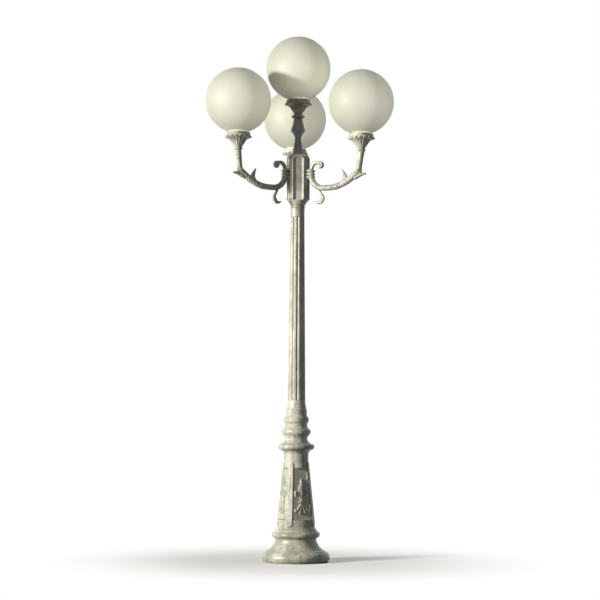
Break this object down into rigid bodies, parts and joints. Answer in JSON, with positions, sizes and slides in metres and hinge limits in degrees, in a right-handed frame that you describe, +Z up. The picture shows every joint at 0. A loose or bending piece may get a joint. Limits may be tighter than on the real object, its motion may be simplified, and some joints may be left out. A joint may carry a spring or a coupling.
{
  "type": "lamp post",
  "caption": "Garden lamp post: moulded pedestal with access door, fluted tapering shaft, hexagonal hub with scrolled arms, and opal globes on arms and on a central baluster.",
  "frame": {"origin": "on the post's axis at the underside of its ground flange, the centre of the anchor bolt circle", "axes": "+Z up the post; -Y is the front, seen from where two arms reach forward to the left and right and the third back; the access door faces 22 degrees to the right of -Y"},
  "size_m": [1.1517, 1.051, 3.251],
  "materials": {
    "cast_metal": "weathered silver-grey casting, matt, darker in the recesses",
    "opal_globe": "opal, softly glossy",
    "bulb_glass": "frosted white",
    "steel": "zinc plated, dulled",
    "black_plastic": "moulded, matt",
    "box_plastic": "moulded, matt light grey",
    "board": "varnished plywood",
    "brass": "dull",
    "lead_sheath": "black flexible sheath",
    "seal_rubber": "matt"
  },
  "bodies": {
    "post": {"base_plinth": "cast_metal", "pedestal": "cast_metal", "hinge_pins": "steel", "panel_ornaments": "cast_metal", "mounting_board": "board", "board_studs": "steel", "fuse_box": "box_plastic", "fuse_box_cover": "box_plastic", "fuse_carriers": "black_plastic", "fuse_rail": "steel", "earth_bolt": "brass", "ring_collar": "cast_metal", "neck_collar": "cast_metal", "shaft_grub_screws": "steel", "shaft_socket": "cast_metal", "fluted_shaft": "cast_metal", "shaft_cap_ring": "cast_metal", "hub_bell": "cast_metal", "hub": "cast_metal", "arm_right": "cast_metal", "arm_rear": "cast_metal", "arm_left": "cast_metal", "arm_bolts": "steel", "lead_right": "lead_sheath", "lead_rear": "lead_sheath", "lead_left": "lead_sheath", "lead_top": "lead_sheath", "baluster": "cast_metal", "globe_screws": "steel", "globe_seals": "seal_rubber", "cup_top": "cast_metal", "lampholder_top": "black_plastic", "bulb_top": "bulb_glass", "globe_top": "opal_globe", "cup_right": "cast_metal", "lampholder_right": "black_plastic", "bulb_right": "bulb_glass", "globe_right": "opal_globe", "cup_rear": "cast_metal", "lampholder_rear": "black_plastic", "bulb_rear": "bulb_glass", "globe_rear": "opal_globe", "cup_left": "cast_metal", "lampholder_left": "black_plastic", "bulb_left": "bulb_glass", "globe_left": "opal_globe"},
    "door": {"access_door": "cast_metal", "door_ornament": "cast_metal"},
    "door_lock": {"door_lock": "steel", "door_lock_tongue": "steel"}
  },
  "joints": [
    {"name": "door_hinge", "type": "hinge", "parent": "post", "child": "door", "pos_m": [0.07509, -0.05542, 0.41325], "axis": [-0.0838, 0.059, 0.9947], "range_deg": [0, 100]},
    {"name": "lock_turn", "type": "hinge", "parent": "door", "child": "door_lock", "pos_m": [-0.00291, -0.09985, 0.27492], "axis": [0.3732, -0.9237, 0.0863], "range_deg": [0, 90]}
  ]
}
